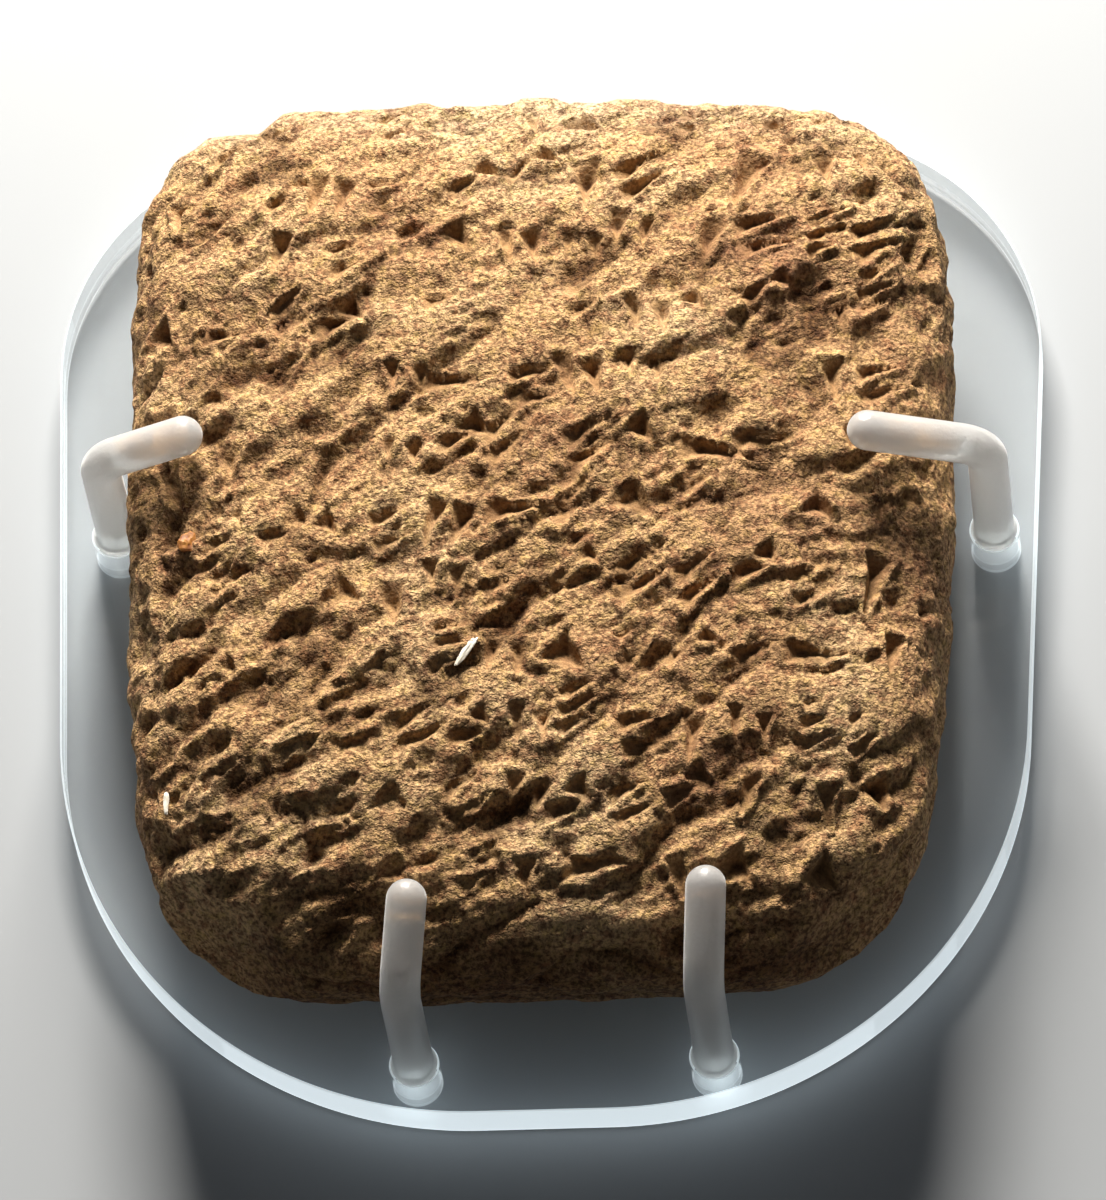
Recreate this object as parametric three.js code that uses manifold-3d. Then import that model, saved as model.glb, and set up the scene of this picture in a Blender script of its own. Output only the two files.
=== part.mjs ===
// A clay tablet with rows of wedge strokes, lying in its clear display stand.
// Sizes are in millimetres. +Z is up and +Y points to the top of the inscription.
// The origin is under the middle of the plate, on the surface that the stand lies on.
import * as THREE from 'three';
import { mergeVertices } from 'three/addons/utils/BufferGeometryUtils.js';
import Module from 'manifold-3d';

// Tablet, a pillow of clay
const tabletWidth = 83;
const tabletHeight = 97;
const frontDepth = 12.5; // from the middle plane to the top of the face
const backDepth = 11.5; // from the middle plane to the back
const topCornerPower = 6; // how square the outline is
const bottomCornerPower = 5;
const faceFlatness = 3; // how far the face stays level towards the edge
const backFlatness = 4.5;
const edgeFullness = 2.5; // how blunt the edge is
const rightTaper = 3.3; // the right side draws in towards the bottom
const leftTaper = 1.2;
const topSlope = 0.055; // the top edge falls towards the right
const lumpDepth = 0.45; // the hand-shaped swells of the face
const restingSpot = 0.35; // worn level where the back lies on the plate

// Broken lower corners: depth, the way the break faces on the plan and how far it looks up, in radians
const lowerLeftBreak = 2.1;
const lowerLeftFacing = -2.2;
const lowerLeftTilt = 0.35;
const lowerRightBreak = 1.9;
const lowerRightFacing = -0.85;
const lowerRightTilt = 0.3;

// The flake off the top left shoulder
const topFlakeDepth = 2.1;
const topFlakeWidth = 13; // from the tablet's left side to the end of the flake's floor
const topFlakeWall = 5; // over which the right end rises by twice the depth
const topFlakeTilt = 0.55; // radians from facing straight to the top

// Rows of wedge strokes
const rowSpacing = 7.6;
const signPitch = 6;
const rowMarginTop = 5;
const rowMarginBottom = 5;
const rowMarginSide = 4;
const rowRise = 0.03; // the rows climb a little towards the right
const signJitterAcross = 3;
const signJitterUp = 2.4;
const smallestSign = 0.75; // as shares of the full size
const largestSign = 1.25;
const signTurn = 0.3; // the most that a sign is turned, in radians
const blankChance = 0.1;
const writtenShare = 0.93; // how far towards the edge the strokes go
const strokeLength = 6.4;
const strokeWidth = 3;
const strokeDepth = 1.85;
const strokeDepthLimit = 1.1; // the deepest stroke, as a share of strokeDepth
const strokeHeadShare = 0.3; // where along a stroke it is deepest
const strokeLean = 0.5; // how far the deepest place lies towards the stroke's upper side
const strokeSeed = 4711;

// The ways in which a stroke's tail runs from its head, in radians from the line of writing
const upright = -1.6;
const slanting = 0.5;
const hooked = -0.7;
const level = 0.12;

// The made-up signs, each a group of strokes: across, up, heading, share of length, share of width
const signs = [
  [[0, 2, upright, 1, 1]],
  [[-2, -2, slanting, 1, 0.65], [-2.4, 0.6, slanting, 0.9, 0.65]],
  [[-1, 1.5, hooked, 0.6, 1.3]],
  [[-3, 0, level, 1.2, 0.85]],
  [[-2, -1, slanting, 1, 0.75], [1, 2.4, hooked, 0.5, 1]],
  [[-1.5, 2.2, upright, 0.8, 0.75], [1.2, 1.4, upright, 0.7, 0.8]],
  [[-2.2, 2.4, slanting, 0.8, 0.5], [-2.4, 0.5, slanting, 0.95, 0.55], [-2.6, -1.4, slanting, 0.8, 0.5]],
];

// Plate
const plateThickness = 5;
const plateTopMargin = 2.4; // beyond the tablet's top
const plateSideRim = 3.55; // beyond the side prongs' sockets
const plateBottomRim = 3; // beyond the lower prongs' sockets
const plateTaper = 6.3; // the plate is narrower at the bottom
const plateTopShift = 0.35; // the hand-cut sides aren't quite even
const plateBottomShift = -1.25;
const plateTopRadius = 25;
const plateBottomRadius = 42;
const plateEdge = 0.35; // the polished edge's small bevel
const plateCornerLimit = 0.46; // the largest corner that fits, as a share of the shorter side

// Prongs, round rods bent over the tablet's edge
const rodDiameter = 4;
const bendRadius = 4.2;
const socketClearance = 0.3;
const collarWidth = 0.35; // the ring of glue round a prong's foot
const collarHeight = 0.9;
const restGap = 0.3; // between the tablet and what it rests on
const leftProngUp = 7.8; // from the tablet's middle
const rightProngUp = 5.6;
const lowerLeftProngSide = -13.5;
const lowerRightProngSide = 16.3;
const leftLegGap = 0.4; // between the leg and the tablet's edge
const rightLegGap = 1.3;
const leftArmRise = 32; // degrees above level
const rightArmRise = 22;
const lowerArmRise = 25;
const leftArmLift = 0.3; // between the arm and the tablet's face
const rightArmLift = 1.2;
const lowerArmLift = 0.4;
const leftArmReach = 11; // from the leg's middle to the tip's end, level
const rightArmReach = 13.6;
const lowerLeftArmReach = 10.4;
const lowerRightArmReach = 10.9;
const lowerLeftSwing = 7; // degrees that the arm turns towards the right
const lowerRightSwing = 3.5;

// How finely the curved surfaces are made
const tabletRings = 12;
const rodSides = 12;
const bendSteps = 6;
const tipSteps = 4;
const plateCornerSteps = 8;

const middleHeight = plateThickness + restGap + backDepth; // of the tablet's middle plane
const rodRadius = rodDiameter / 2;
const socketRadius = rodRadius + socketClearance;
const plateSideMargin = rightLegGap + rodDiameter + socketClearance + plateSideRim;
const plateBottomMargin = restGap + rodDiameter + socketClearance + plateBottomRim;
const plateHeight = tabletHeight + plateTopMargin + plateBottomMargin;
const plateTopWidth = tabletWidth + 2 * plateSideMargin;
const plateBottomWidth = plateTopWidth - plateTaper;
const tabletUp = (plateBottomMargin - plateTopMargin) / 2; // the tablet sits above the plate's middle
const radians = Math.PI / 180;

const clay = new THREE.MeshStandardMaterial({ color: '#a8825a', roughness: 0.95, metalness: 0 });
const clearAcrylic = new THREE.MeshStandardMaterial({
  color: '#dfeaee', roughness: 0.05, metalness: 0, transparent: true, opacity: 0.3,
});
const frostedAcrylic = new THREE.MeshStandardMaterial({
  color: '#e6e4de', roughness: 0.5, metalness: 0, transparent: true, opacity: 0.8,
});

const wasm = await Module();
wasm.setup();

// A closed geometry as a solid that can be joined and cut
function solidOf(geometry) {
  const bare = geometry.clone();
  bare.deleteAttribute('normal');
  bare.deleteAttribute('uv');
  const merged = mergeVertices(bare, 1e-4);
  return new wasm.Manifold(new wasm.Mesh({
    numProp: 3,
    vertProperties: new Float32Array(merged.attributes.position.array),
    triVerts: new Uint32Array(merged.index.array),
  }));
}

function geometryOf(solid) {
  const mesh = solid.getMesh();
  const geometry = new THREE.BufferGeometry();
  geometry.setAttribute('position', new THREE.BufferAttribute(new Float32Array(mesh.vertProperties), 3));
  geometry.setIndex(new THREE.BufferAttribute(new Uint32Array(mesh.triVerts), 1));
  geometry.computeVertexNormals();
  return geometry;
}

// Numbers from 0 to 1 that come out the same each time
function makeRandom(seed) {
  let state = seed;
  return () => {
    state = (state * 16807) % 2147483647;
    return state / 2147483647;
  };
}

// The tablet's outline on its middle plane, as a point in a direction from the middle
function outlinePoint(angle) {
  const across = Math.cos(angle);
  const up = Math.sin(angle);
  const power = up > 0 ? topCornerPower : bottomCornerPower;
  const sum = Math.abs(across / (tabletWidth / 2)) ** power + Math.abs(up / (tabletHeight / 2)) ** power;
  const reach = sum ** (-1 / power);
  let x = across * reach;
  let y = up * reach;
  const down = Math.max(0, -y / (tabletHeight / 2));
  x -= Math.max(0, x / (tabletWidth / 2)) * rightTaper * down;
  x += Math.max(0, -x / (tabletWidth / 2)) * leftTaper * down;
  y -= Math.max(0, y / (tabletHeight / 2)) * Math.max(0, x) * topSlope;
  return new THREE.Vector2(x, y);
}

// Slow swells of the hand-shaped face
function lump(x, y) {
  const slow = Math.sin(x * 0.11 + 0.7) * Math.cos(y * 0.09 - 0.4);
  const quick = Math.sin(x * 0.21 - y * 0.17 + 1.9);
  return lumpDepth * (0.6 * slow + 0.4 * quick);
}

// The tablet's surface: share runs from 0 in the middle to 1 at the edge
function tabletPoint(angle, share, side) {
  const edge = outlinePoint(angle);
  const x = edge.x * share;
  const y = edge.y * share;
  const flatness = side > 0 ? faceFlatness : backFlatness;
  const rise = (1 - share ** flatness) ** (1 / edgeFullness);
  if (side > 0) {
    return new THREE.Vector3(x, y, frontDepth * rise + lump(x, y) * rise);
  }
  return new THREE.Vector3(x, y, -Math.min((backDepth + restingSpot) * rise, backDepth));
}

// The face's point above a place on the plan
function facePoint(x, y) {
  const angle = Math.atan2(y, x);
  const share = Math.min(1, Math.hypot(x, y) / outlinePoint(angle).length());
  return tabletPoint(angle, share, 1);
}

// Both faces as grids of square rings that share the edge
function tabletBody(rings) {
  const count = 2 * rings + 1;
  const vertices = [];
  const triangles = [];
  const indexOf = new Map();
  const vertexAt = (i, j, side) => {
    const u = i / rings - 1;
    const v = j / rings - 1;
    const ring = Math.max(Math.abs(u), Math.abs(v));
    const key = ring === 1 ? `edge ${i} ${j}` : `${side} ${i} ${j}`;
    if (!indexOf.has(key)) {
      const angle = Math.atan2(v * tabletHeight, u * tabletWidth);
      const point = tabletPoint(angle, Math.sin(ring * Math.PI / 2), side);
      indexOf.set(key, vertices.length / 3);
      vertices.push(point.x, point.y, point.z);
    }
    return indexOf.get(key);
  };
  for (const side of [1, -1]) {
    for (let i = 0; i < count - 1; i += 1) {
      for (let j = 0; j < count - 1; j += 1) {
        const corners = [
          vertexAt(i, j, side), vertexAt(i + 1, j, side),
          vertexAt(i + 1, j + 1, side), vertexAt(i, j + 1, side),
        ];
        // the diagonal runs towards the middle, so that no triangle folds at a corner
        const turn = (i < rings) === (j < rings) ? 0 : 1;
        const [a, b, c, d] = [0, 1, 2, 3].map((k) => corners[(k + turn) % 4]);
        if (side > 0) {
          triangles.push(a, b, c, a, c, d);
        } else {
          triangles.push(a, c, b, a, d, c);
        }
      }
    }
  }
  const geometry = new THREE.BufferGeometry();
  geometry.setAttribute('position', new THREE.BufferAttribute(new Float32Array(vertices), 3));
  geometry.setIndex(triangles);
  return solidOf(geometry);
}

// One wedge stroke: a three-sided dent, deepest under its head, that runs out along its tail
function strokeCut(x, y, heading, length, width) {
  const depth = strokeDepth * Math.min(width / strokeWidth, strokeDepthLimit);
  const step = 0.5;
  const place = facePoint(x, y);
  const slopeX = facePoint(x + step, y).sub(facePoint(x - step, y));
  const slopeY = facePoint(x, y + step).sub(facePoint(x, y - step));
  const outward = slopeX.cross(slopeY).normalize();
  const tail = new THREE.Vector3(Math.cos(heading), Math.sin(heading), 0);
  tail.addScaledVector(outward, -tail.dot(outward)).normalize();
  const across = new THREE.Vector3().crossVectors(outward, tail);
  const lift = 0.6; // the cutting shape stands this far out of the clay
  const spread = (depth + lift) / depth;
  const corner = (along, aside, up) => place.clone()
    .addScaledVector(tail, along)
    .addScaledVector(across, aside)
    .addScaledVector(outward, up);
  const lean = strokeLean * across.y * (1 - strokeHeadShare);
  const deepest = corner(strokeHeadShare * length, lean * width / 2, -depth);
  const mouth = [corner(0, -width / 2, 0), corner(0, width / 2, 0), corner(length, 0, 0)];
  const points = [deepest, ...mouth.map((end) => deepest.clone().lerp(end, spread))];
  const geometry = new THREE.BufferGeometry();
  geometry.setAttribute('position', new THREE.BufferAttribute(
    new Float32Array(points.flatMap((point) => point.toArray())), 3));
  geometry.setIndex([0, 1, 2, 0, 2, 3, 0, 3, 1, 1, 3, 2]);
  return solidOf(geometry);
}

// How far a place on the plan is from the middle, as a share of the way to the edge
function shareOf(x, y) {
  return Math.hypot(x, y) / outlinePoint(Math.atan2(y, x)).length();
}

// The strokes of all rows: each row holds made-up signs, with a blank here and there
function strokePlaces() {
  const random = makeRandom(strokeSeed);
  const places = [];
  const rows = Math.floor((tabletHeight - rowMarginTop - rowMarginBottom) / rowSpacing) + 1;
  const columns = Math.floor((tabletWidth - 2 * rowMarginSide) / signPitch) + 1;
  for (let row = 0; row < rows; row += 1) {
    const rowY = tabletHeight / 2 - rowMarginTop - row * rowSpacing;
    for (let column = 0; column < columns; column += 1) {
      const columnX = -tabletWidth / 2 + rowMarginSide + column * signPitch;
      const x = columnX + (random() - 0.5) * signJitterAcross;
      const y = rowY + (random() - 0.5) * signJitterUp + x * rowRise;
      const sign = signs[Math.floor(random() * signs.length)];
      const size = smallestSign + random() * (largestSign - smallestSign);
      const turn = (2 * random() - 1) * signTurn;
      if (random() >= blankChance) {
        for (const [across, up, heading, length, width] of sign) {
          if (shareOf(x + across, y + up) < writtenShare) {
            places.push([
              x + across, y + up, heading + turn, strokeLength * length * size, strokeWidth * width * size,
            ]);
          }
        }
      }
    }
  }
  return places;
}

// A large block with one face across a corner of the tablet, to break a piece off
function breakCut(corner, facing, tilt, thickness) {
  const size = tabletWidth;
  const block = new THREE.BoxGeometry(size, size, size);
  block.translate(size / 2 - thickness, 0, 0);
  block.rotateY(-tilt);
  block.rotateZ(facing);
  block.translate(corner.x, corner.y, 0);
  return solidOf(block);
}

// A flake with a flat floor and a sloping wall at its right end, cut off the top left shoulder
function flakeCut() {
  const outward = new THREE.Vector3(0, Math.cos(topFlakeTilt), Math.sin(topFlakeTilt));
  const floorEnd = -tabletWidth / 2 + topFlakeWidth;
  const steps = 60;
  let shoulder = 0;
  for (let step = steps / 2; step < steps - 1; step += 1) {
    const place = facePoint(floorEnd, tabletHeight / 2 * step / steps);
    shoulder = Math.max(shoulder, place.dot(outward));
  }
  const far = tabletWidth / 2;
  const section = new THREE.Shape([
    new THREE.Vector2(-far, 0),
    new THREE.Vector2(0, 0),
    new THREE.Vector2(topFlakeWall, 2 * topFlakeDepth),
    new THREE.Vector2(topFlakeWall, far),
    new THREE.Vector2(-far, far),
  ]);
  const block = new THREE.ExtrudeGeometry(section, { depth: 2 * far, bevelEnabled: false });
  block.translate(0, 0, -far);
  block.rotateX(topFlakeTilt);
  const floor = outward.multiplyScalar(shoulder - topFlakeDepth);
  block.translate(floorEnd, floor.y, floor.z);
  return solidOf(block);
}

function makeTablet() {
  let tablet = tabletBody(tabletRings);
  const lowerLeft = outlinePoint(Math.atan2(-tabletHeight, -tabletWidth));
  const lowerRight = outlinePoint(Math.atan2(-tabletHeight, tabletWidth));
  tablet = tablet.subtract(breakCut(lowerLeft, lowerLeftFacing, lowerLeftTilt, lowerLeftBreak));
  tablet = tablet.subtract(breakCut(lowerRight, lowerRightFacing, lowerRightTilt, lowerRightBreak));
  tablet = tablet.subtract(flakeCut());
  for (const place of strokePlaces()) {
    tablet = tablet.subtract(strokeCut(...place));
  }
  const geometry = geometryOf(tablet);
  geometry.translate(0, tabletUp, middleHeight);
  const mesh = new THREE.Mesh(geometry, clay);
  mesh.name = 'clay_tablet';
  return mesh;
}

// Where a straight line along X or Y, off the middle by offset, leaves the tablet's outline
function edgeDistance(side, offset, alongX) {
  let reach = side * (alongX ? tabletWidth : tabletHeight) / 2;
  const rounds = 12; // each one comes closer to the outline
  for (let round = 0; round < rounds; round += 1) {
    const point = alongX
      ? outlinePoint(Math.atan2(offset, reach))
      : outlinePoint(Math.atan2(reach, offset));
    reach = alongX ? point.x : point.y;
  }
  return Math.abs(reach);
}

// The four prongs: where each foot stands, which way its arm points, and how it is bent
function prongPlans() {
  const common = [
    { name: 'left_prong', side: -1, offset: leftProngUp, alongX: true, gap: leftLegGap,
      rise: leftArmRise, lift: leftArmLift, reach: leftArmReach, swing: 0 },
    { name: 'right_prong', side: 1, offset: rightProngUp, alongX: true, gap: rightLegGap,
      rise: rightArmRise, lift: rightArmLift, reach: rightArmReach, swing: 0 },
    { name: 'lower_left_prong', side: -1, offset: lowerLeftProngSide, alongX: false, gap: restGap,
      rise: lowerArmRise, lift: lowerArmLift, reach: lowerLeftArmReach, swing: lowerLeftSwing },
    { name: 'lower_right_prong', side: -1, offset: lowerRightProngSide, alongX: false, gap: restGap,
      rise: lowerArmRise, lift: lowerArmLift, reach: lowerRightArmReach, swing: lowerRightSwing },
  ];
  return common.map((plan) => {
    const edge = edgeDistance(plan.side, plan.offset, plan.alongX);
    const legOut = edge + plan.gap + rodRadius;
    const slope = Math.tan(plan.rise * radians);
    let cornerHeight = 0;
    const step = 0.5;
    for (let inward = 0; inward <= plan.reach; inward += step) {
      const out = plan.side * (legOut - inward);
      const place = plan.alongX ? facePoint(out, plan.offset) : facePoint(plan.offset, out);
      const need = place.z + (rodRadius + plan.lift) / Math.cos(plan.rise * radians) - slope * inward;
      cornerHeight = Math.max(cornerHeight, need);
    }
    const out = plan.side * legOut;
    const foot = plan.alongX ? [out, plan.offset + tabletUp] : [plan.offset, out + tabletUp];
    const inwards = plan.alongX ? Math.PI * (plan.side > 0 ? 1 : 0) : Math.PI / 2;
    const heading = inwards - plan.swing * radians;
    return { ...plan, foot, heading, cornerHeight: middleHeight + cornerHeight };
  });
}

// A straight rod turned on a lathe, with a round tip and a glue collar, then bent over its arm
function makeProng(plan) {
  const turn = Math.PI / 2 - plan.rise * radians;
  const cut = bendRadius * Math.tan(turn / 2);
  const leg = plan.cornerHeight - cut;
  const arc = bendRadius * turn;
  const arm = (plan.reach - rodRadius) / Math.cos(plan.rise * radians) + rodRadius - cut;
  const length = leg + arc + arm;
  const profile = [new THREE.Vector2(0, 0), new THREE.Vector2(rodRadius, 0)];
  const collarTop = plateThickness + restGap + collarHeight;
  profile.push(new THREE.Vector2(rodRadius, plateThickness + restGap));
  profile.push(new THREE.Vector2(rodRadius + collarWidth, plateThickness + restGap));
  profile.push(new THREE.Vector2(rodRadius, collarTop));
  for (let step = 0; step <= bendSteps; step += 1) {
    profile.push(new THREE.Vector2(rodRadius, leg + arc * step / bendSteps));
  }
  for (let step = 0; step <= tipSteps; step += 1) {
    const angle = Math.PI / 2 * step / tipSteps;
    const radius = step === tipSteps ? 0 : rodRadius * Math.cos(angle);
    profile.push(new THREE.Vector2(radius, length - rodRadius + rodRadius * Math.sin(angle)));
  }
  const geometry = new THREE.LatheGeometry(profile, rodSides);
  const position = geometry.attributes.position;
  for (let index = 0; index < position.count; index += 1) {
    const inward = position.getX(index);
    const along = position.getY(index);
    const aside = position.getZ(index);
    const bent = Math.min(Math.max(along - leg, 0), arc);
    const angle = bent / bendRadius;
    const past = Math.max(along - leg - arc, 0);
    const x = bendRadius * (1 - Math.cos(angle)) + past * Math.sin(angle) + inward * Math.cos(angle);
    const z = Math.min(along, leg) + bendRadius * Math.sin(angle) + past * Math.cos(angle)
      - inward * Math.sin(angle);
    position.setXYZ(index, x, -aside, z);
  }
  const mesh = new THREE.Mesh(geometryOf(solidOf(geometry)), frostedAcrylic);
  mesh.name = plan.name;
  mesh.position.set(plan.foot[0], plan.foot[1], 0);
  mesh.rotation.z = plan.heading;
  return mesh;
}

// An outline with straight sides and a round corner of its own radius at each point
function roundedShape(corners, radii) {
  const shape = new THREE.Shape();
  corners.forEach((corner, index) => {
    const before = corners[(index + corners.length - 1) % corners.length];
    const after = corners[(index + 1) % corners.length];
    const back = before.clone().sub(corner).normalize();
    const ahead = after.clone().sub(corner).normalize();
    const half = Math.acos(back.dot(ahead)) / 2;
    const radius = radii[index];
    const centre = back.clone().add(ahead).normalize().multiplyScalar(radius / Math.sin(half)).add(corner);
    const start = back.multiplyScalar(radius / Math.tan(half)).add(corner).sub(centre).angle();
    shape.absarc(centre.x, centre.y, radius, start, start + Math.PI - 2 * half, false);
  });
  shape.closePath();
  return shape;
}

function makePlate(plans) {
  const top = plateHeight / 2;
  const widest = Math.min(plateBottomWidth, plateHeight) * plateCornerLimit;
  const topRadius = Math.min(plateTopRadius, widest);
  const bottomRadius = Math.min(plateBottomRadius, widest);
  const shape = roundedShape([
    new THREE.Vector2(plateTopShift + plateTopWidth / 2, top),
    new THREE.Vector2(plateTopShift - plateTopWidth / 2, top),
    new THREE.Vector2(plateBottomShift - plateBottomWidth / 2, -top),
    new THREE.Vector2(plateBottomShift + plateBottomWidth / 2, -top),
  ], [topRadius, topRadius, bottomRadius, bottomRadius]);
  for (const plan of plans) {
    const hole = new THREE.Path();
    hole.absarc(plan.foot[0], plan.foot[1], socketRadius, 0, 2 * Math.PI, true);
    shape.holes.push(hole);
  }
  const geometry = new THREE.ExtrudeGeometry(shape, {
    depth: plateThickness - 2 * plateEdge,
    bevelEnabled: true,
    bevelThickness: plateEdge,
    bevelSize: plateEdge,
    bevelOffset: -plateEdge,
    bevelSegments: 1,
    curveSegments: plateCornerSteps,
  });
  geometry.translate(0, 0, plateEdge);
  const mesh = new THREE.Mesh(geometry, clearAcrylic);
  mesh.name = 'stand_plate';
  return mesh;
}

const plans = prongPlans();
const part = new THREE.Group();
part.add(makeTablet());
part.add(makePlate(plans));
for (const plan of plans) {
  part.add(makeProng(plan));
}

export default part;
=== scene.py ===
"""A clay tablet with rows of wedge strokes in its clear acrylic stand, seen from above."""
import math

import bmesh
import bpy
import numpy as np
from mathutils import Matrix, Vector


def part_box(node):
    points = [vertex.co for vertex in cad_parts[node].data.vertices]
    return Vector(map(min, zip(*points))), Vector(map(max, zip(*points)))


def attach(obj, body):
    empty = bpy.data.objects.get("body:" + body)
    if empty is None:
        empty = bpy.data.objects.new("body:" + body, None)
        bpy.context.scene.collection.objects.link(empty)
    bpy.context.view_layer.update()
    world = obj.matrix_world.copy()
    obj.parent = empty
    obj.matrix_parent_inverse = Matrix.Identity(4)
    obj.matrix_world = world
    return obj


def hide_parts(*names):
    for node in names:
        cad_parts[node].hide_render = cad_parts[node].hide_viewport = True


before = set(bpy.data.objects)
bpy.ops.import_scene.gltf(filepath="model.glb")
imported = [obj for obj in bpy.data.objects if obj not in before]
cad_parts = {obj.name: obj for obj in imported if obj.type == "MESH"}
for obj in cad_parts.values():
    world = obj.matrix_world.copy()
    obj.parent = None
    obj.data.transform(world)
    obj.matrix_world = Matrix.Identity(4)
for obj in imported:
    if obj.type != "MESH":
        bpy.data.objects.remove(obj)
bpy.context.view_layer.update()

MM = 0.001

# Tablet, in millimetres from its own middle, as in the solid
WIDTH = 83.0
HEIGHT = 97.0
FRONT_DEPTH = 12.5
BACK_DEPTH = 11.5
TOP_POWER = 6.0
BOTTOM_POWER = 5.0
FACE_FLATNESS = 3.0
BACK_FLATNESS = 4.5
EDGE_FULLNESS = 2.5
RIGHT_TAPER = 3.3
LEFT_TAPER = 1.2
TOP_SLOPE = 0.055
LUMP_DEPTH = 0.45
RESTING_SPOT = 0.35
TOP_FLAKE_DEPTH = 2.1
TOP_FLAKE_WIDTH = 13.0
TOP_FLAKE_WALL = 5.0
TOP_FLAKE_TILT = 0.55
FLAKE_ROUGHNESS = 0.3
# The broken lower corners, left and right: the way the break faces on the plan and how far it
# looks up, both in radians, its depth, and the seed of its roughness
BREAKS = (
    (-2.2, 0.35, 2.1, 60),
    (-0.85, 0.3, 1.9, 70),
)
BREAK_ROUGHNESS = 0.35

# Rows of strokes
ROW_SPACING = 7.6
SIGN_PITCH = 6.0
ROW_MARGIN_TOP = 5.0
ROW_MARGIN_BOTTOM = 5.0
ROW_MARGIN_SIDE = 4.0
ROW_RISE = 0.03
SIGN_JITTER_ACROSS = 3
SIGN_JITTER_UP = 2.4
SMALLEST_SIGN = 0.75
LARGEST_SIGN = 1.25
SIGN_TURN = 0.3
BLANK_CHANCE = 0.1
WRITTEN_SHARE = 0.93
STROKE_LENGTH = 6.4
STROKE_WIDTH = 3.0
STROKE_DEPTH = 1.85
STROKE_DEPTH_LIMIT = 1.1
STROKE_HEAD_SHARE = 0.3
STROKE_LEAN = 0.5
STROKE_SEED = 4711
# The four ways in which a stroke's tail runs from its head, in radians from the line of writing
UPRIGHT = -1.6
SLANTING = 0.5
HOOKED = -0.7
LEVEL = 0.12
# The made-up signs, each a group of strokes: across, up, heading, share of length, share of width
SIGNS = (
    ((0, 2, UPRIGHT, 1, 1),),
    ((-2, -2, SLANTING, 1, 0.65), (-2.4, 0.6, SLANTING, 0.9, 0.65)),
    ((-1, 1.5, HOOKED, 0.6, 1.3),),
    ((-3, 0, LEVEL, 1.2, 0.85),),
    ((-2, -1, SLANTING, 1, 0.75), (1, 2.4, HOOKED, 0.5, 1)),
    ((-1.5, 2.2, UPRIGHT, 0.8, 0.75), (1.2, 1.4, UPRIGHT, 0.7, 0.8)),
    (
        (-2.2, 2.4, SLANTING, 0.8, 0.5),
        (-2.4, 0.5, SLANTING, 0.95, 0.55),
        (-2.6, -1.4, SLANTING, 0.8, 0.5),
    ),
)

# Clay pushed up beside the strokes: how far from them, how wide, how far past the head, how high
LIP_DISTANCE = 0.35
LIP_WIDTH = 0.45
LIP_REACH = 1.2
LIP_HEIGHT = 0.42
# How widely and how far the strokes' outlines wander, and how far more where they are worn
WOBBLE_WIDTH = 2.0
STROKE_WOBBLE = 0.24
WORN_WOBBLE = 0.36
# The share of a stroke's depth that wear takes at most
WORN_AWAY = 0.4

# Relief of the clay: how wide its features are, and how far they stand out or go in
SLANT = math.radians(28)
SLANT_LENGTH = 2.3
SWELL_WIDTH = 6.0
FOLD_WIDTH = 5.0
FOLD_HEIGHT = 1.5
RIDGE_WIDTH = 3.6
RIDGE_HEIGHT = 0.8
WORN_RIDGE_HEIGHT = 0.6
GRAIN_WIDTH = 1.25
GRAIN_HEIGHT = 0.2
PIT_WIDTH = 1.3
PIT_DEPTH = 0.4
SLIT_WIDTH = 3.4
SLIT_DEPTH = 0.9
WEAR_WIDTH = 14.0
WEAR_REACH_ACROSS = 60
WEAR_REACH_UP = 90
CALM_WIDTH = 11.0
# Where the painted shade on the lower rim and the painted light on the upper part start and are full,
# from the middle
PAINTED_SHADE_RIM = (43, 48)
PAINTED_LIGHT_TOP = (38, 46)

# Hollows in the clay: across, up, above the middle plane, radius, depth
NICKS = (
    (37.9, 28.4, 6.2, 1.4, 1.9),
    (41.1, 16.6, 2.0, 1.1, 0.8),
    (37.3, -36.0, 3.0, 1.8, 1.1),
    (-38.5, 20.0, 6.0, 1.4, 0.8),
    (30.0, -40.5, 7.0, 2.2, 1.2),
)

# Grains of other minerals in the clay: across, up, half length, half width, turn, kind
MINERALS = (
    (-34.5, -2.7, 1.25, 0.9, 1.45, "orange_grain"),
    (-6.6, -16.6, 1.7, 0.38, 0.98, "pale_fleck"),
    (-36.9, -29.4, 1.05, 0.3, 1.6, "pale_fleck"),
)
MINERAL_HEIGHT = 0.6
MINERAL_ROUGHNESS = 0.3

# The patch at the right that was smoothed with streaks: across, up, half width, half height
STREAKED_PATCH = (31.0, -9.0, 13.0, 14.0)
STREAK_RISE = 0.16
STREAK_LENGTH = 9.0
STREAK_WIDTH = 1.1
STREAK_HEIGHT = 0.3

# Plate
PLATE_THICKNESS = 5.0
PLATE_HEIGHT = 107.0
PLATE_TOP_WIDTH = 101.3
PLATE_BOTTOM_WIDTH = 95.0
PLATE_TOP_SHIFT = 0.35
PLATE_BOTTOM_SHIFT = -1.25
PLATE_TOP_RADIUS = 25.0
PLATE_BOTTOM_RADIUS = 42.0
PLATE_EDGE = 0.35
SOCKET_RADIUS = 2.3
PLATE_CORNER_STEPS = 48
# The cut edge has this many materials with a painted glow, brightest where it faces the bottom, away
# from the light
EDGE_STEPS = 7
EDGE_BRIGHTEST = 1.05
EDGE_DIMMING = 0.13
# The dimming starts where the normal's share of up is minus the first, and runs over the second
EDGE_TURN_START = 0.9
EDGE_TURN_RANGE = 1.3

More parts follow.
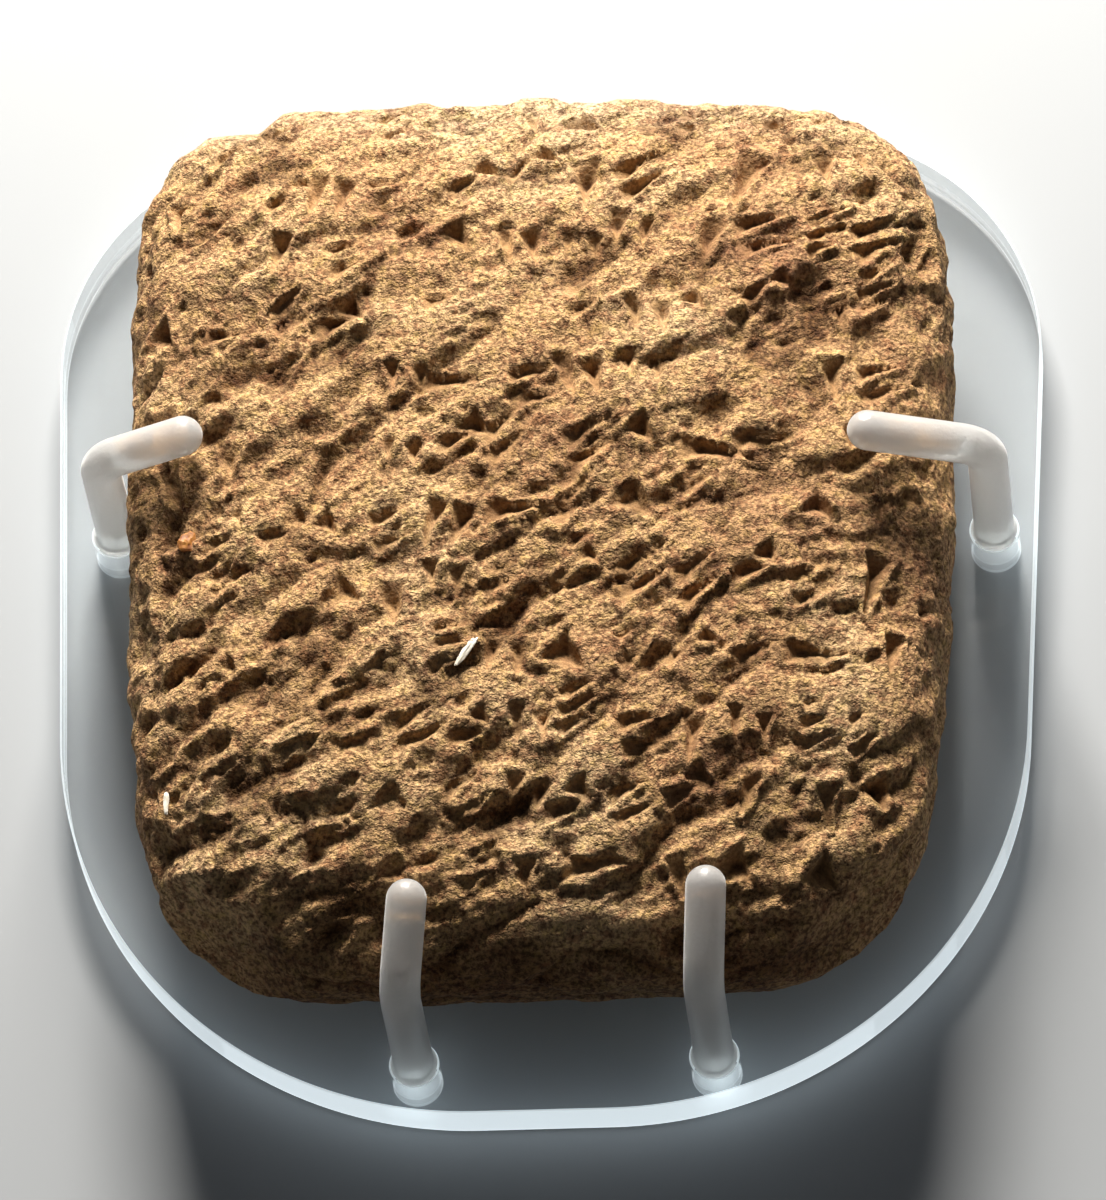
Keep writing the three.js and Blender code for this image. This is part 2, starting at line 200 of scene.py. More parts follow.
# Prongs: how steeply each arm rises, and how far it swings to the right, in degrees
ROD_RADIUS = 2.0
BEND_RADIUS = 4.2
COLLAR_WIDTH = 0.35
COLLAR_HEIGHT = 0.9
FOOT_EDGE = 0.15
REST_GAP = 0.3
ROD_SIDES = 40
COLLAR_STEPS = 8
BEND_STEPS = 16
TIP_STEPS = 10
SHARP_ANGLE = 0.7
PRONGS = {
    "left_prong": (32, 0),
    "right_prong": (22, 0),
    "lower_left_prong": (25, 7),
    "lower_right_prong": (25, 3.5),
}

# How finely the tablet's surface is made, and how far its grains may stand out towards the prongs
RINGS = 190
OUTWARD_LIMIT = 0.22
TABLET_TRIANGLES = 190000

# Floor, in metres
FLOOR_HALF = 2.0
FLOOR_DROP = 0.0003

low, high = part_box("clay_tablet")
TABLET_MIDDLE = np.array([
    0.0,
    (low[1] + high[1]) / 2 / MM,
    low[2] / MM + BACK_DEPTH,
])


# Noise

def lattice(seed):
    """A table of random numbers that a smooth noise reads."""
    return np.random.RandomState(seed).rand(32, 32, 32)


def turned(points, seed):
    """The points turned some way about the middle, so that no grid shows in the noise."""
    turn, _ = np.linalg.qr(np.random.RandomState(seed).randn(3, 3))
    return points @ turn


def smooth_noise(points, scale, seed):
    """Noise from -1 to 1 with features about scale wide, at each point."""
    table = lattice(seed)
    place = turned(points, seed) / scale
    cell = np.floor(place).astype(int)
    part = place - cell
    part = part * part * (3 - 2 * part)
    total = np.zeros(len(points))
    for corner in range(8):
        step = np.array([corner & 1, corner >> 1 & 1, corner >> 2 & 1])
        index = (cell + step) % 32
        weight = np.prod(np.where(step == 1, part, 1 - part), axis=1)
        total += weight * table[index[:, 0], index[:, 1], index[:, 2]]
    return 2 * total - 1


def layered_noise(points, scale, seed, layers=3):
    """Noise with finer noise on it, each layer half as wide and half as strong."""
    total = np.zeros(len(points))
    for layer in range(layers):
        total += smooth_noise(points, scale / 2 ** layer, seed + layer) / 2 ** layer
    return total


def soft_step(value, start, end):
    """Rises smoothly from 0 at start to 1 at end."""
    share = np.clip((value - start) / (end - start), 0, 1)
    return share * share * (3 - 2 * share)


# Pieces

def placed(name, data):
    """A new object in the scene."""
    piece = bpy.data.objects.new(name, data)
    bpy.context.scene.collection.objects.link(piece)
    return piece


def finished(piece):
    """Makes a piece's modifiers part of its mesh and shades it smooth."""
    depsgraph = bpy.context.evaluated_depsgraph_get()
    piece.data = bpy.data.meshes.new_from_object(piece.evaluated_get(depsgraph))
    piece.modifiers.clear()
    for polygon in piece.data.polygons:
        polygon.use_smooth = True
    return piece


# Tablet

def outline(angle):
    """The outline on the middle plane in each direction from the middle."""
    across = np.cos(angle)
    up = np.sin(angle)
    power = np.where(up > 0, TOP_POWER, BOTTOM_POWER)
    total = np.abs(across / (WIDTH / 2)) ** power + np.abs(up / (HEIGHT / 2)) ** power
    reach = total ** (-1 / power)
    x = across * reach
    y = up * reach
    down = np.maximum(0, -y / (HEIGHT / 2))
    x = x - np.maximum(0, x / (WIDTH / 2)) * RIGHT_TAPER * down
    x = x + np.maximum(0, -x / (WIDTH / 2)) * LEFT_TAPER * down
    y = y - np.maximum(0, y / (HEIGHT / 2)) * np.maximum(0, x) * TOP_SLOPE
    return np.stack([x, y], -1)


def lump(x, y):
    """The slow swells of a face shaped by hand."""
    slow = np.sin(x * 0.11 + 0.7) * np.cos(y * 0.09 - 0.4)
    quick = np.sin(x * 0.21 - y * 0.17 + 1.9)
    return LUMP_DEPTH * (0.6 * slow + 0.4 * quick)


def surface(angle, share, side):
    """Points of the smooth pillow: share runs from 0 in the middle to 1 at the edge."""
    edge = outline(angle)
    x = edge[..., 0] * share
    y = edge[..., 1] * share
    if side > 0:
        rise = np.maximum(0, 1 - share ** FACE_FLATNESS) ** (1 / EDGE_FULLNESS)
        z = FRONT_DEPTH * rise + lump(x, y) * rise
    else:
        rise = np.maximum(0, 1 - share ** BACK_FLATNESS) ** (1 / EDGE_FULLNESS)
        z = -np.minimum((BACK_DEPTH + RESTING_SPOT) * rise, BACK_DEPTH)
    return np.stack([x, y, z], -1)


def share_of(x, y):
    """How far towards the outline a place on the plan lies."""
    return math.hypot(x, y) / float(np.hypot(*outline(np.array(math.atan2(y, x)))))


def face_point(x, y):
    """The smooth face's point above a place on the plan."""
    return surface(np.array(math.atan2(y, x)), np.array(min(1, share_of(x, y))), 1)


def pillow_mesh(rings):
    """Vertices and quads of both faces, square rings that share the edge."""
    count = 2 * rings + 1
    steps = np.arange(count) / rings - 1
    u, v = np.meshgrid(steps, steps, indexing="ij")
    ring = np.maximum(np.abs(u), np.abs(v))
    angle = np.arctan2(v * HEIGHT, u * WIDTH)
    share = np.sin(ring * math.pi / 2)
    front = surface(angle, share, 1).reshape(-1, 3)
    back = surface(angle, share, -1).reshape(-1, 3)
    front_index = np.arange(count * count).reshape(count, count)
    on_edge = ring.reshape(-1) > 1 - 1e-9
    back_index = np.where(on_edge, front_index.reshape(-1), 0)
    back_index[~on_edge] = count * count + np.arange((~on_edge).sum())
    back_index = back_index.reshape(count, count)
    vertices = np.concatenate([front, back[~on_edge]])

    def quads(index):
        return np.stack([
            index[:-1, :-1], index[1:, :-1], index[1:, 1:], index[:-1, 1:],
        ], -1).reshape(-1, 4)

    faces = np.concatenate([quads(front_index), quads(back_index)[:, ::-1]])
    return vertices, faces


def normals_of(vertices, faces):
    """The mean of the normals round each vertex."""
    a, b, c, d = (vertices[faces[:, k]] for k in range(4))
    face_normal = np.cross(c - a, d - b)
    total = np.zeros_like(vertices)
    for k in range(4):
        for axis in range(3):
            total[:, axis] += np.bincount(faces[:, k], face_normal[:, axis], len(vertices))
    return total / np.maximum(np.linalg.norm(total, axis=1), 1e-12)[:, None]


def stroke_places():
    """The same made-up groups of strokes as in the solid, row by row."""
    state = STROKE_SEED

    def draw():
        nonlocal state
        state = state * 16807 % 2147483647
        return state / 2147483647

    places = []
    rows = int((HEIGHT - ROW_MARGIN_TOP - ROW_MARGIN_BOTTOM) // ROW_SPACING) + 1
    columns = int((WIDTH - 2 * ROW_MARGIN_SIDE) // SIGN_PITCH) + 1
    for row in range(rows):
        row_y = HEIGHT / 2 - ROW_MARGIN_TOP - row * ROW_SPACING
        for column in range(columns):
            column_x = -WIDTH / 2 + ROW_MARGIN_SIDE + column * SIGN_PITCH
            x = column_x + (draw() - 0.5) * SIGN_JITTER_ACROSS
            y = row_y + (draw() - 0.5) * SIGN_JITTER_UP + x * ROW_RISE
            sign = SIGNS[int(draw() * len(SIGNS))]
            size = SMALLEST_SIGN + draw() * (LARGEST_SIGN - SMALLEST_SIGN)
            turn = (2 * draw() - 1) * SIGN_TURN
            if draw() < BLANK_CHANCE:
                continue
            for across, up, heading, length, width in sign:
                place = (x + across, y + up, heading + turn, length * size, width * size)
                if share_of(place[0], place[1]) < WRITTEN_SHARE:
                    places.append(place)
    return places


def stroke_depths(points, wear):
    """How deep the strokes cut at each point, and how much clay they pushed up beside them."""
    cut = np.zeros(len(points))
    rim = np.zeros(len(points))
    wobble = np.stack([
        layered_noise(points, WOBBLE_WIDTH, 300, 3),
        layered_noise(points, WOBBLE_WIDTH, 310, 3),
        np.zeros(len(points)),
    ], -1)
    moved = points + wobble * (STROKE_WOBBLE + WORN_WOBBLE * wear)[:, None]
    for x, y, heading, length_share, width_share in stroke_places():
        length = STROKE_LENGTH * length_share
        width = STROKE_WIDTH * width_share
        depth = STROKE_DEPTH * min(width_share, STROKE_DEPTH_LIMIT)
        place = face_point(x, y)
        slope_x = face_point(x + 0.5, y) - face_point(x - 0.5, y)
        slope_y = face_point(x, y + 0.5) - face_point(x, y - 0.5)
        outward = np.cross(slope_x, slope_y)
        outward /= np.linalg.norm(outward)
        tail = np.array([math.cos(heading), math.sin(heading), 0.0])
        tail -= outward * (tail @ outward)
        tail /= np.linalg.norm(tail)
        across = np.cross(outward, tail)
        near = np.nonzero(np.sum((moved - place) ** 2, axis=1) < (length + 2) ** 2)[0]
        near = near[points[near, 2] > 0]
        along = (moved[near] - place) @ tail
        aside = (moved[near] - place) @ across
        # three straight walls meet at the deepest point, under the head, and the upper one is steeper
        deep = STROKE_HEAD_SHARE * length
        head = along / deep
        lean = STROKE_LEAN * across[1]
        left = 1 - along / length
        aside = aside / (width / 2) - lean * left
        side = (left - np.maximum(aside / (1 - lean), -aside / (1 + lean))) / (1 - deep / length)
        inside = np.minimum(head, side)
        cut[near] = np.maximum(cut[near], depth * np.clip(inside, 0, 1))
        distance = -inside * deep
        lip = np.exp(-((distance - LIP_DISTANCE) / LIP_WIDTH) ** 2)
        lip = lip * (along > -LIP_REACH) * (along < length)
        rim[near] = np.maximum(rim[near], lip)
    return cut * (1 - WORN_AWAY * wear), rim * (1 - WORN_AWAY * wear)


def flaked(points):
    """The shallow flake off the top left shoulder, with a sloping wall at its right end."""
    normal = np.array([0, math.cos(TOP_FLAKE_TILT), math.sin(TOP_FLAKE_TILT)])
    floor_end = -WIDTH / 2 + TOP_FLAKE_WIDTH
    steps = 60
    shoulder = max(
        float(face_point(floor_end, HEIGHT / 2 * step / steps) @ normal)
        for step in range(steps // 2, steps - 1)
    )
    rough = layered_noise(points, 5.0, 90, 4) * FLAKE_ROUGHNESS
    wall = np.maximum(0, points[:, 0] - floor_end) / TOP_FLAKE_WALL * 2 * TOP_FLAKE_DEPTH
    beyond = points @ normal - (shoulder - TOP_FLAKE_DEPTH) - wall + rough
    return points - np.maximum(0, beyond)[:, None] * normal


def broken(points, x, y, facing, tilt, depth, seed):
    """Points beyond a rough plane are drawn back onto it."""
    normal = np.array([
        math.cos(tilt) * math.cos(facing), math.cos(tilt) * math.sin(facing), math.sin(tilt),
    ])
    rough = layered_noise(points, 3.0, seed, 3) * BREAK_ROUGHNESS
    beyond = (points - np.array([x, y, 0.0])) @ normal + depth + rough
    return points - np.maximum(0, beyond)[:, None] * normal


def stretched(points, rise, length):
    """The points squeezed along a line that rises to the right, to draw a noise out along it."""
    along = points[:, 0] * math.cos(rise) + points[:, 1] * math.sin(rise)
    across = points[:, 1] * math.cos(rise) - points[:, 0] * math.sin(rise)
    return np.stack([along / length, across, points[:, 2]], -1)


def clay_relief(points):
    """How far the clay stands out, where shade is painted in its hollows and creases and on the lower
    rim, where it is pressed smooth, and where light is painted on its upper part.
    """
    front = soft_step(points[:, 2], -7, 2)
    strength = 0.2 + 0.25 * front + 0.55 * soft_step(points[:, 2], 1, 8)
    # the left and the lower parts are more worn
    slope = points[:, 0] / WEAR_REACH_ACROSS + points[:, 1] / WEAR_REACH_UP
    wear = soft_step(smooth_noise(points, WEAR_WIDTH, 81) - slope, 0.0, 0.9)
    cut, rim = stroke_depths(points, wear)
    inside = soft_step(cut, 0.1, 0.5)
    drawn_out = stretched(points, SLANT, SLANT_LENGTH)
    x, y, half_width, half_height = STREAKED_PATCH
    patch = ((points[:, 0] - x) / half_width) ** 2 + ((points[:, 1] - y) / half_height) ** 2
    patch = (1 - soft_step(patch, 0.5, 1.1)) * front
    calm = 1 - 0.4 * soft_step(smooth_noise(points, CALM_WIDTH, 80), 0.1, 0.6)
    calm = calm * (1 - 0.6 * patch) * strength
    swell = layered_noise(points, SWELL_WIDTH, 10, 2) * (0.15 + 0.35 * strength)
    folds = layered_noise(drawn_out, FOLD_WIDTH, 16, 2)
    mounds = (np.abs(folds) - 0.3) * FOLD_HEIGHT * calm
    ridges = 0.42 - np.abs(layered_noise(drawn_out, RIDGE_WIDTH, 15, 3))
    ridges = ridges * (RIDGE_HEIGHT + WORN_RIDGE_HEIGHT * wear) * calm
    grain = layered_noise(points, GRAIN_WIDTH, 20, 3) * (0.04 + GRAIN_HEIGHT * calm)
    streaks = layered_noise(stretched(points, STREAK_RISE, STREAK_LENGTH), STREAK_WIDTH, 95, 2)
    streaks = streaks * STREAK_HEIGHT * patch
    pits = soft_step(smooth_noise(drawn_out, PIT_WIDTH, 40), 0.42, 0.75) * PIT_DEPTH * strength
    slits = soft_step(layered_noise(drawn_out, SLIT_WIDTH, 50, 3), 0.7, 1.15) * SLIT_DEPTH * strength
    # lowered all over, to make up for what stands out
    height = swell + mounds + ridges + grain + streaks - 0.08 - 0.22 * strength
    height = height + (LIP_HEIGHT * rim - 0.15) * front
    height = height * (1 - 0.6 * inside) - (pits + slits) * (1 - 0.8 * inside) - cut
    for *place, radius, depth in NICKS:
        distance = np.linalg.norm(points - np.array(place), axis=1) / radius
        height -= depth * np.exp(-distance ** 2)
    height = np.minimum(height, OUTWARD_LIMIT)
    # painted shade: the colour is darkened in the deepest parts of the strokes, in pits, slits and
    # fold creases, and in the ridges' valleys, where shade falls
    deepest = np.clip(cut / STROKE_DEPTH, 0, 1) ** 2
    creases = np.exp(-(folds / 0.1) ** 2) * calm
    # painted shade: darker towards the bottom rim, which faces away from the lamp
    painted_rim_shade = 0.75 * soft_step(-points[:, 1] + 2 * smooth_noise(points, 4.0, 85), *PAINTED_SHADE_RIM)
    painted_shade = 0.6 * deepest + 0.5 * (pits + slits) + 0.7 * creases + painted_rim_shade
    painted_shade -= 0.9 * np.minimum(ridges + 0.1, 0)
    painted_shade = np.clip(painted_shade, 0, 1)
    pressed = soft_step(cut, 0.05, 0.35) * front * (1 - 0.6 * wear)
    # painted light: paler towards the top of the face, which faces the lamp
    painted_light = soft_step(points[:, 1] + 2 * smooth_noise(points, 5.0, 86), *PAINTED_LIGHT_TOP) * front
    return height, painted_shade, pressed, painted_light


def make_tablet():
    """The worn clay with its strokes and breaks, its colour carrying painted shade, pressing and
    painted light.
    """
    points, faces = pillow_mesh(RINGS)
    normal = normals_of(points, faces)
    height, painted_shade, pressed, painted_light = clay_relief(points)
    points = points + normal * height[:, None]
    corners = outline(np.array([math.atan2(-HEIGHT, -WIDTH), math.atan2(-HEIGHT, WIDTH)]))
    for (x, y), (facing, tilt, depth, seed) in zip(corners, BREAKS):
        points = broken(points, x, y, facing, tilt, depth, seed)
    points = flaked(points)
    points[:, 2] = np.maximum(points[:, 2], -BACK_DEPTH)
    points = (points + TABLET_MIDDLE) * MM
    mesh = bpy.data.meshes.new("clay_tablet_surface")
    mesh.from_pydata(points.tolist(), [], faces.tolist())
    painted_shading_and_pressing = mesh.color_attributes.new("painted_shading_and_pressing", "FLOAT_COLOR", "POINT")
    values = np.stack([painted_shade, pressed, painted_light, np.ones_like(painted_shade)], -1)
    painted_shading_and_pressing.data.foreach_set("color", values.ravel().astype(np.float32))
    piece = placed("clay_tablet_surface", mesh)
    fewer = piece.modifiers.new("fewer", "DECIMATE")
    fewer.ratio = TABLET_TRIANGLES / (2 * len(faces))
    return finished(piece)


def make_mineral(index, x, y, half_length, half_width, turn, kind):
    """A rough chip of another mineral, bedded in the clay."""
    shape = bmesh.new()
    bmesh.ops.create_icosphere(shape, subdivisions=3, radius=1)
    points = np.array([vertex.co for vertex in shape.verts])
    points *= (1 + MINERAL_ROUGHNESS * layered_noise(points, 0.9, 200 + index, 3))[:, None]
    points *= np.array([half_length, half_width, MINERAL_HEIGHT * half_width])
    points = points @ np.array([
        [math.cos(turn), math.sin(turn), 0],
        [-math.sin(turn), math.cos(turn), 0],
        [0, 0, 1],
    ])
    points = (points + face_point(x, y) + TABLET_MIDDLE) * MM
    for vertex, place in zip(shape.verts, points):
        vertex.co = place
    mesh = bpy.data.meshes.new(f"{kind}_{index + 1}")
    shape.to_mesh(mesh)
    shape.free()
    return placed(mesh.name, mesh)


# Stand

def prong_path(name):
    """Where a prong's foot stands and the sizes of its leg, bend and arm, read from its solid."""
    rise, swing = (math.radians(angle) for angle in PRONGS[name])
    low, high = (np.array(corner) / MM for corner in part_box(name))
    foot_radius = ROD_RADIUS + COLLAR_WIDTH
    if name == "left_prong":
        foot = (low[0] + foot_radius, (low[1] + high[1]) / 2)
        heading = 0.0
        reach = high[0] - foot[0]
    elif name == "right_prong":
        foot = (high[0] - foot_radius, (low[1] + high[1]) / 2)
        heading = math.pi
        reach = foot[0] - low[0]
    else:
        foot = (low[0] + foot_radius, low[1] + foot_radius)
        heading = math.pi / 2 - swing
        reach = ROD_RADIUS + (high[1] - foot[1] - ROD_RADIUS) / math.cos(swing)
    corner_height = high[2] - ROD_RADIUS - (reach - ROD_RADIUS) * math.tan(rise)
    turn = math.pi / 2 - rise
    cut = BEND_RADIUS * math.tan(turn / 2)
    leg = corner_height - cut
    arm = (reach - ROD_RADIUS) / math.cos(rise) + ROD_RADIUS - cut
    return foot, heading, leg, turn, arm


def rod_radius_at(along, length):
    """The rod's radius along its length, with the glue's rim at its foot and its round tip."""
    collar_foot = PLATE_THICKNESS + REST_GAP
    if along < collar_foot:
        return ROD_RADIUS
    if along < collar_foot + COLLAR_HEIGHT:
        return ROD_RADIUS + COLLAR_WIDTH * (1 - (along - collar_foot) / COLLAR_HEIGHT) ** 2
    past = max(0, along - (length - ROD_RADIUS))
    return math.sqrt(max(0, ROD_RADIUS ** 2 - past ** 2))


def make_prong(name):
    """The same bent rod as the solid, with more sides and a smooth bend and tip."""
    foot, heading, leg, turn, arm = prong_path(name)
    arc = BEND_RADIUS * turn
    length = leg + arc + arm
    collar_foot = PLATE_THICKNESS + REST_GAP
    stations = [0, FOOT_EDGE, collar_foot - 0.01]
    stations += [
        collar_foot + COLLAR_HEIGHT * step / COLLAR_STEPS for step in range(COLLAR_STEPS + 1)
    ]
    stations += [leg + arc * step / BEND_STEPS for step in range(BEND_STEPS + 1)]
    tip = length - ROD_RADIUS
    stations += [
        tip + ROD_RADIUS * math.sin(math.pi / 2 * step / TIP_STEPS) for step in range(TIP_STEPS + 1)
    ]
    vertices = []
    for along in stations:
        radius = rod_radius_at(along, length)
        if along == 0:
            radius = ROD_RADIUS - FOOT_EDGE
        angle = min(max(along - leg, 0), arc) / BEND_RADIUS
        past = max(along - leg - arc, 0)
        middle = BEND_RADIUS * (1 - math.cos(angle)) + past * math.sin(angle)
        height = min(along, leg) + BEND_RADIUS * math.sin(angle) + past * math.cos(angle)
        for side in range(ROD_SIDES):
            round_angle = 2 * math.pi * side / ROD_SIDES
            inward = radius * math.cos(round_angle)
            aside = radius * math.sin(round_angle)
            x = middle + inward * math.cos(angle)
            z = height - inward * math.sin(angle)
            vertices.append((
                (foot[0] + x * math.cos(heading) - aside * math.sin(heading)) * MM,
                (foot[1] + x * math.sin(heading) + aside * math.cos(heading)) * MM,
                z * MM,
            ))
    faces = [tuple(reversed(range(ROD_SIDES)))]
    for ring in range(len(stations) - 1):
        for side in range(ROD_SIDES):
            after = (side + 1) % ROD_SIDES
            a, b = ring * ROD_SIDES + side, ring * ROD_SIDES + after
            faces.append((a, b, b + ROD_SIDES, a + ROD_SIDES))
    mesh = bpy.data.meshes.new(name + "_rod")
    mesh.from_pydata(vertices, [], faces)
    piece = placed(name + "_rod", mesh)
    welded = piece.modifiers.new("weld", "WELD")
    welded.merge_threshold = 1e-7
    finished(piece).data.set_sharp_from_angle(angle=SHARP_ANGLE)
    return piece, foot


def rounded_outline(corners, radii, steps):
    """Points round an outline with straight sides and a round corner at each of its points."""
    points = []
    for index, corner in enumerate(corners):
        corner = Vector(corner)
        back = (Vector(corners[index - 1]) - corner).normalized()
        ahead = (Vector(corners[(index + 1) % len(corners)]) - corner).normalized()
        half = math.acos(back.dot(ahead)) / 2
        radius = radii[index]
        centre = corner + (back + ahead).normalized() * (radius / math.sin(half))
        first = corner + back * (radius / math.tan(half)) - centre
        start = math.atan2(first.y, first.x)
        for step in range(steps + 1):
            angle = start + (math.pi - 2 * half) * step / steps
            points.append((centre.x + radius * math.cos(angle), centre.y + radius * math.sin(angle)))
    return points


def make_plate(feet):
    """The clear sheet with polished edges and a socket round each foot."""
    top = PLATE_HEIGHT / 2
    loops = [rounded_outline(
        [
            (PLATE_TOP_SHIFT + PLATE_TOP_WIDTH / 2, top),
            (PLATE_TOP_SHIFT - PLATE_TOP_WIDTH / 2, top),
            (PLATE_BOTTOM_SHIFT - PLATE_BOTTOM_WIDTH / 2, -top),
            (PLATE_BOTTOM_SHIFT + PLATE_BOTTOM_WIDTH / 2, -top),
        ],
        [PLATE_TOP_RADIUS, PLATE_TOP_RADIUS, PLATE_BOTTOM_RADIUS, PLATE_BOTTOM_RADIUS],
        PLATE_CORNER_STEPS,
    )]
    sides = 48
    for x, y in feet:
        loops.append([
            (x + SOCKET_RADIUS * math.cos(angle), y + SOCKET_RADIUS * math.sin(angle))
            for angle in (2 * math.pi * step / sides for step in range(sides))
        ])
    curve = bpy.data.curves.new("plate_outline", "CURVE")
    curve.dimensions = "2D"
    curve.fill_mode = "BOTH"
    curve.extrude = (PLATE_THICKNESS / 2 - PLATE_EDGE) * MM
    curve.bevel_depth = PLATE_EDGE * MM
    curve.bevel_resolution = 3
    curve.offset = -PLATE_EDGE * MM
    for loop in loops:
        spline = curve.splines.new("POLY")
        spline.points.add(len(loop) - 1)
        for point, (x, y) in zip(spline.points, loop):
            point.co = (x * MM, y * MM, 0, 1)
        spline.use_cyclic_u = True
    outline_object = placed("plate_outline", curve)
    depsgraph = bpy.context.evaluated_depsgraph_get()
    mesh = bpy.data.meshes.new_from_object(outline_object.evaluated_get(depsgraph))
    bpy.data.objects.remove(outline_object)
    mesh.transform(Matrix.Translation((0, 0, PLATE_THICKNESS / 2 * MM)))
    return placed("clear_plate", mesh)


# Floor

def make_floor():
    mesh = bpy.data.meshes.new("floor")
    corners = [
        (-FLOOR_HALF, -FLOOR_HALF, 0), (FLOOR_HALF, -FLOOR_HALF, 0),
        (FLOOR_HALF, FLOOR_HALF, 0), (-FLOOR_HALF, FLOOR_HALF, 0),
    ]
    mesh.from_pydata(corners, [], [(0, 1, 2, 3)])
    floor = placed("floor", mesh)
    floor.location.z = -FLOOR_DROP
    return floor


# Materials

def new_material(name):
    material = bpy.data.materials.new(name)
    material.use_nodes = True
    tree = material.node_tree
    shader = tree.nodes["Principled BSDF"]
    return material, tree, shader


def clay_material():
    material, tree, shader = new_material("baked_clay")
    nodes, links = tree.nodes, tree.links
    place = nodes.new("ShaderNodeTexCoord")

    def noise(scale, detail, roughness=0.6):
        node = nodes.new("ShaderNodeTexNoise")
        node.inputs["Scale"].default_value = scale
        node.inputs["Detail"].default_value = detail
        node.inputs["Roughness"].default_value = roughness
        links.new(place.outputs["Object"], node.inputs["Vector"])
        return node.outputs["Fac"]

    def ramp(value, *stops):
        node = nodes.new("ShaderNodeValToRGB")
        while len(node.color_ramp.elements) < len(stops):
            node.color_ramp.elements.new(0.5)
        for element, (position, colour) in zip(node.color_ramp.elements, stops):
            element.position = position
            element.color = (*colour, 1)
        links.new(value, node.inputs["Fac"])
        return node.outputs["Color"]

    def multiplied(share, first, second):
        node = nodes.new("ShaderNodeMix")
        node.data_type = "RGBA"
        node.blend_type = "MULTIPLY"
        links.new(share, node.inputs["Factor"])
        links.new(first, node.inputs["A"])
        if isinstance(second, tuple):
            node.inputs["B"].default_value = (*second, 1)
        else:
            links.new(second, node.inputs["B"])
        return node.outputs["Result"]

    broad = ramp(
        noise(scale=60, detail=4),
        (0.3, (0.36, 0.20, 0.10)), (0.5, (0.46, 0.285, 0.135)), (0.72, (0.56, 0.385, 0.21)),
    )
    tints = ramp(
        noise(scale=700, detail=3, roughness=0.7),
        (0.38, (0.58, 0.44, 0.42)), (0.47, (1, 0.98, 1)),
        (0.56, (1, 1, 0.95)), (0.66, (0.8, 0.82, 0.62)),
    )
    grains = ramp(
        noise(scale=1900, detail=2, roughness=0.7),
        (0.38, (0.3, 0.25, 0.23)), (0.49, (0.9, 0.9, 0.9)), (0.61, (1.5, 1.5, 1.45)),
    )
    # the mesh's colour attribute: red is painted shade in the hollows, creases and lower rim, green
    # where pressed smooth, blue is painted light on the upper part
    painted_shading_and_pressing = nodes.new("ShaderNodeAttribute")
    painted_shading_and_pressing.attribute_name = "painted_shading_and_pressing"
    parts = nodes.new("ShaderNodeSeparateColor")
    links.new(painted_shading_and_pressing.outputs["Color"], parts.inputs["Color"])
    rough = nodes.new("ShaderNodeMapRange")
    rough.inputs["To Min"].default_value = 0.78
    rough.inputs["To Max"].default_value = 0.36
    links.new(parts.outputs["Green"], rough.inputs["Value"])
    colour = multiplied(rough.outputs["Result"], broad, tints)
    colour = multiplied(rough.outputs["Result"], colour, grains)
    colour = multiplied(parts.outputs["Green"], colour, (0.84, 0.8, 0.76))
    # painted light on the upper part
    colour = multiplied(parts.outputs["Blue"], colour, (1.06, 1.2, 1.4))
    # painted shade in hollows, creases and on the lower rim
    colour = multiplied(parts.outputs["Red"], colour, (0.26, 0.2, 0.16))
    links.new(colour, shader.inputs["Base Color"])
    shader.inputs["Roughness"].default_value = 0.92
    shader.inputs["Specular IOR Level"].default_value = 0.2
    coarse = nodes.new("ShaderNodeBump")
    coarse.inputs["Distance"].default_value = 0.0012
    links.new(rough.outputs["Result"], coarse.inputs["Strength"])
    links.new(noise(scale=1100, detail=3, roughness=0.7), coarse.inputs["Height"])
    fine = nodes.new("ShaderNodeBump")
    fine.inputs["Distance"].default_value = 0.0003
    links.new(rough.outputs["Result"], fine.inputs["Strength"])
    links.new(noise(scale=2600, detail=3, roughness=0.75), fine.inputs["Height"])
    links.new(coarse.outputs["Normal"], fine.inputs["Normal"])
    links.new(fine.outputs["Normal"], shader.inputs["Normal"])
    return material


def mineral_material(name, dark, light):
    """A mottled mineral with a slight sheen."""
    material, tree, shader = new_material(name)
    nodes, links = tree.nodes, tree.links
    place = nodes.new("ShaderNodeTexCoord")
    mottle = nodes.new("ShaderNodeTexNoise")
    mottle.inputs["Scale"].default_value = 1500
    links.new(place.outputs["Object"], mottle.inputs["Vector"])
    ramp = nodes.new("ShaderNodeValToRGB")
    ramp.color_ramp.elements[0].position = 0.35
    ramp.color_ramp.elements[0].color = (*dark, 1)
    ramp.color_ramp.elements[1].position = 0.65
    ramp.color_ramp.elements[1].color = (*light, 1)
    links.new(mottle.outputs["Fac"], ramp.inputs["Fac"])
    links.new(ramp.outputs["Color"], shader.inputs["Base Color"])
    shader.inputs["Roughness"].default_value = 0.6
    return material


def scratched(tree, shader, scale, strength):
    """A trace of waviness, so that a smooth surface doesn't look drawn."""
    nodes, links = tree.nodes, tree.links
    place = nodes.new("ShaderNodeTexCoord")
    wear = nodes.new("ShaderNodeTexNoise")
    wear.inputs["Scale"].default_value = scale
    wear.inputs["Detail"].default_value = 4
    links.new(place.outputs["Object"], wear.inputs["Vector"])
    bump = nodes.new("ShaderNodeBump")
    bump.inputs["Distance"].default_value = 0.0001
    bump.inputs["Strength"].default_value = strength
    links.new(wear.outputs["Fac"], bump.inputs["Height"])
    links.new(bump.outputs["Normal"], shader.inputs["Normal"])


def clear_material():
    material, tree, shader = new_material("clear_acrylic")
    shader.inputs["Base Color"].default_value = (0.86, 0.93, 0.96, 1)
    shader.inputs["Roughness"].default_value = 0.02
    shader.inputs["IOR"].default_value = 1.49
    shader.inputs["Transmission Weight"].default_value = 1.0
    shader.inputs["Alpha"].default_value = 0.3
    scratched(tree, shader, 120, 0.15)
    return material


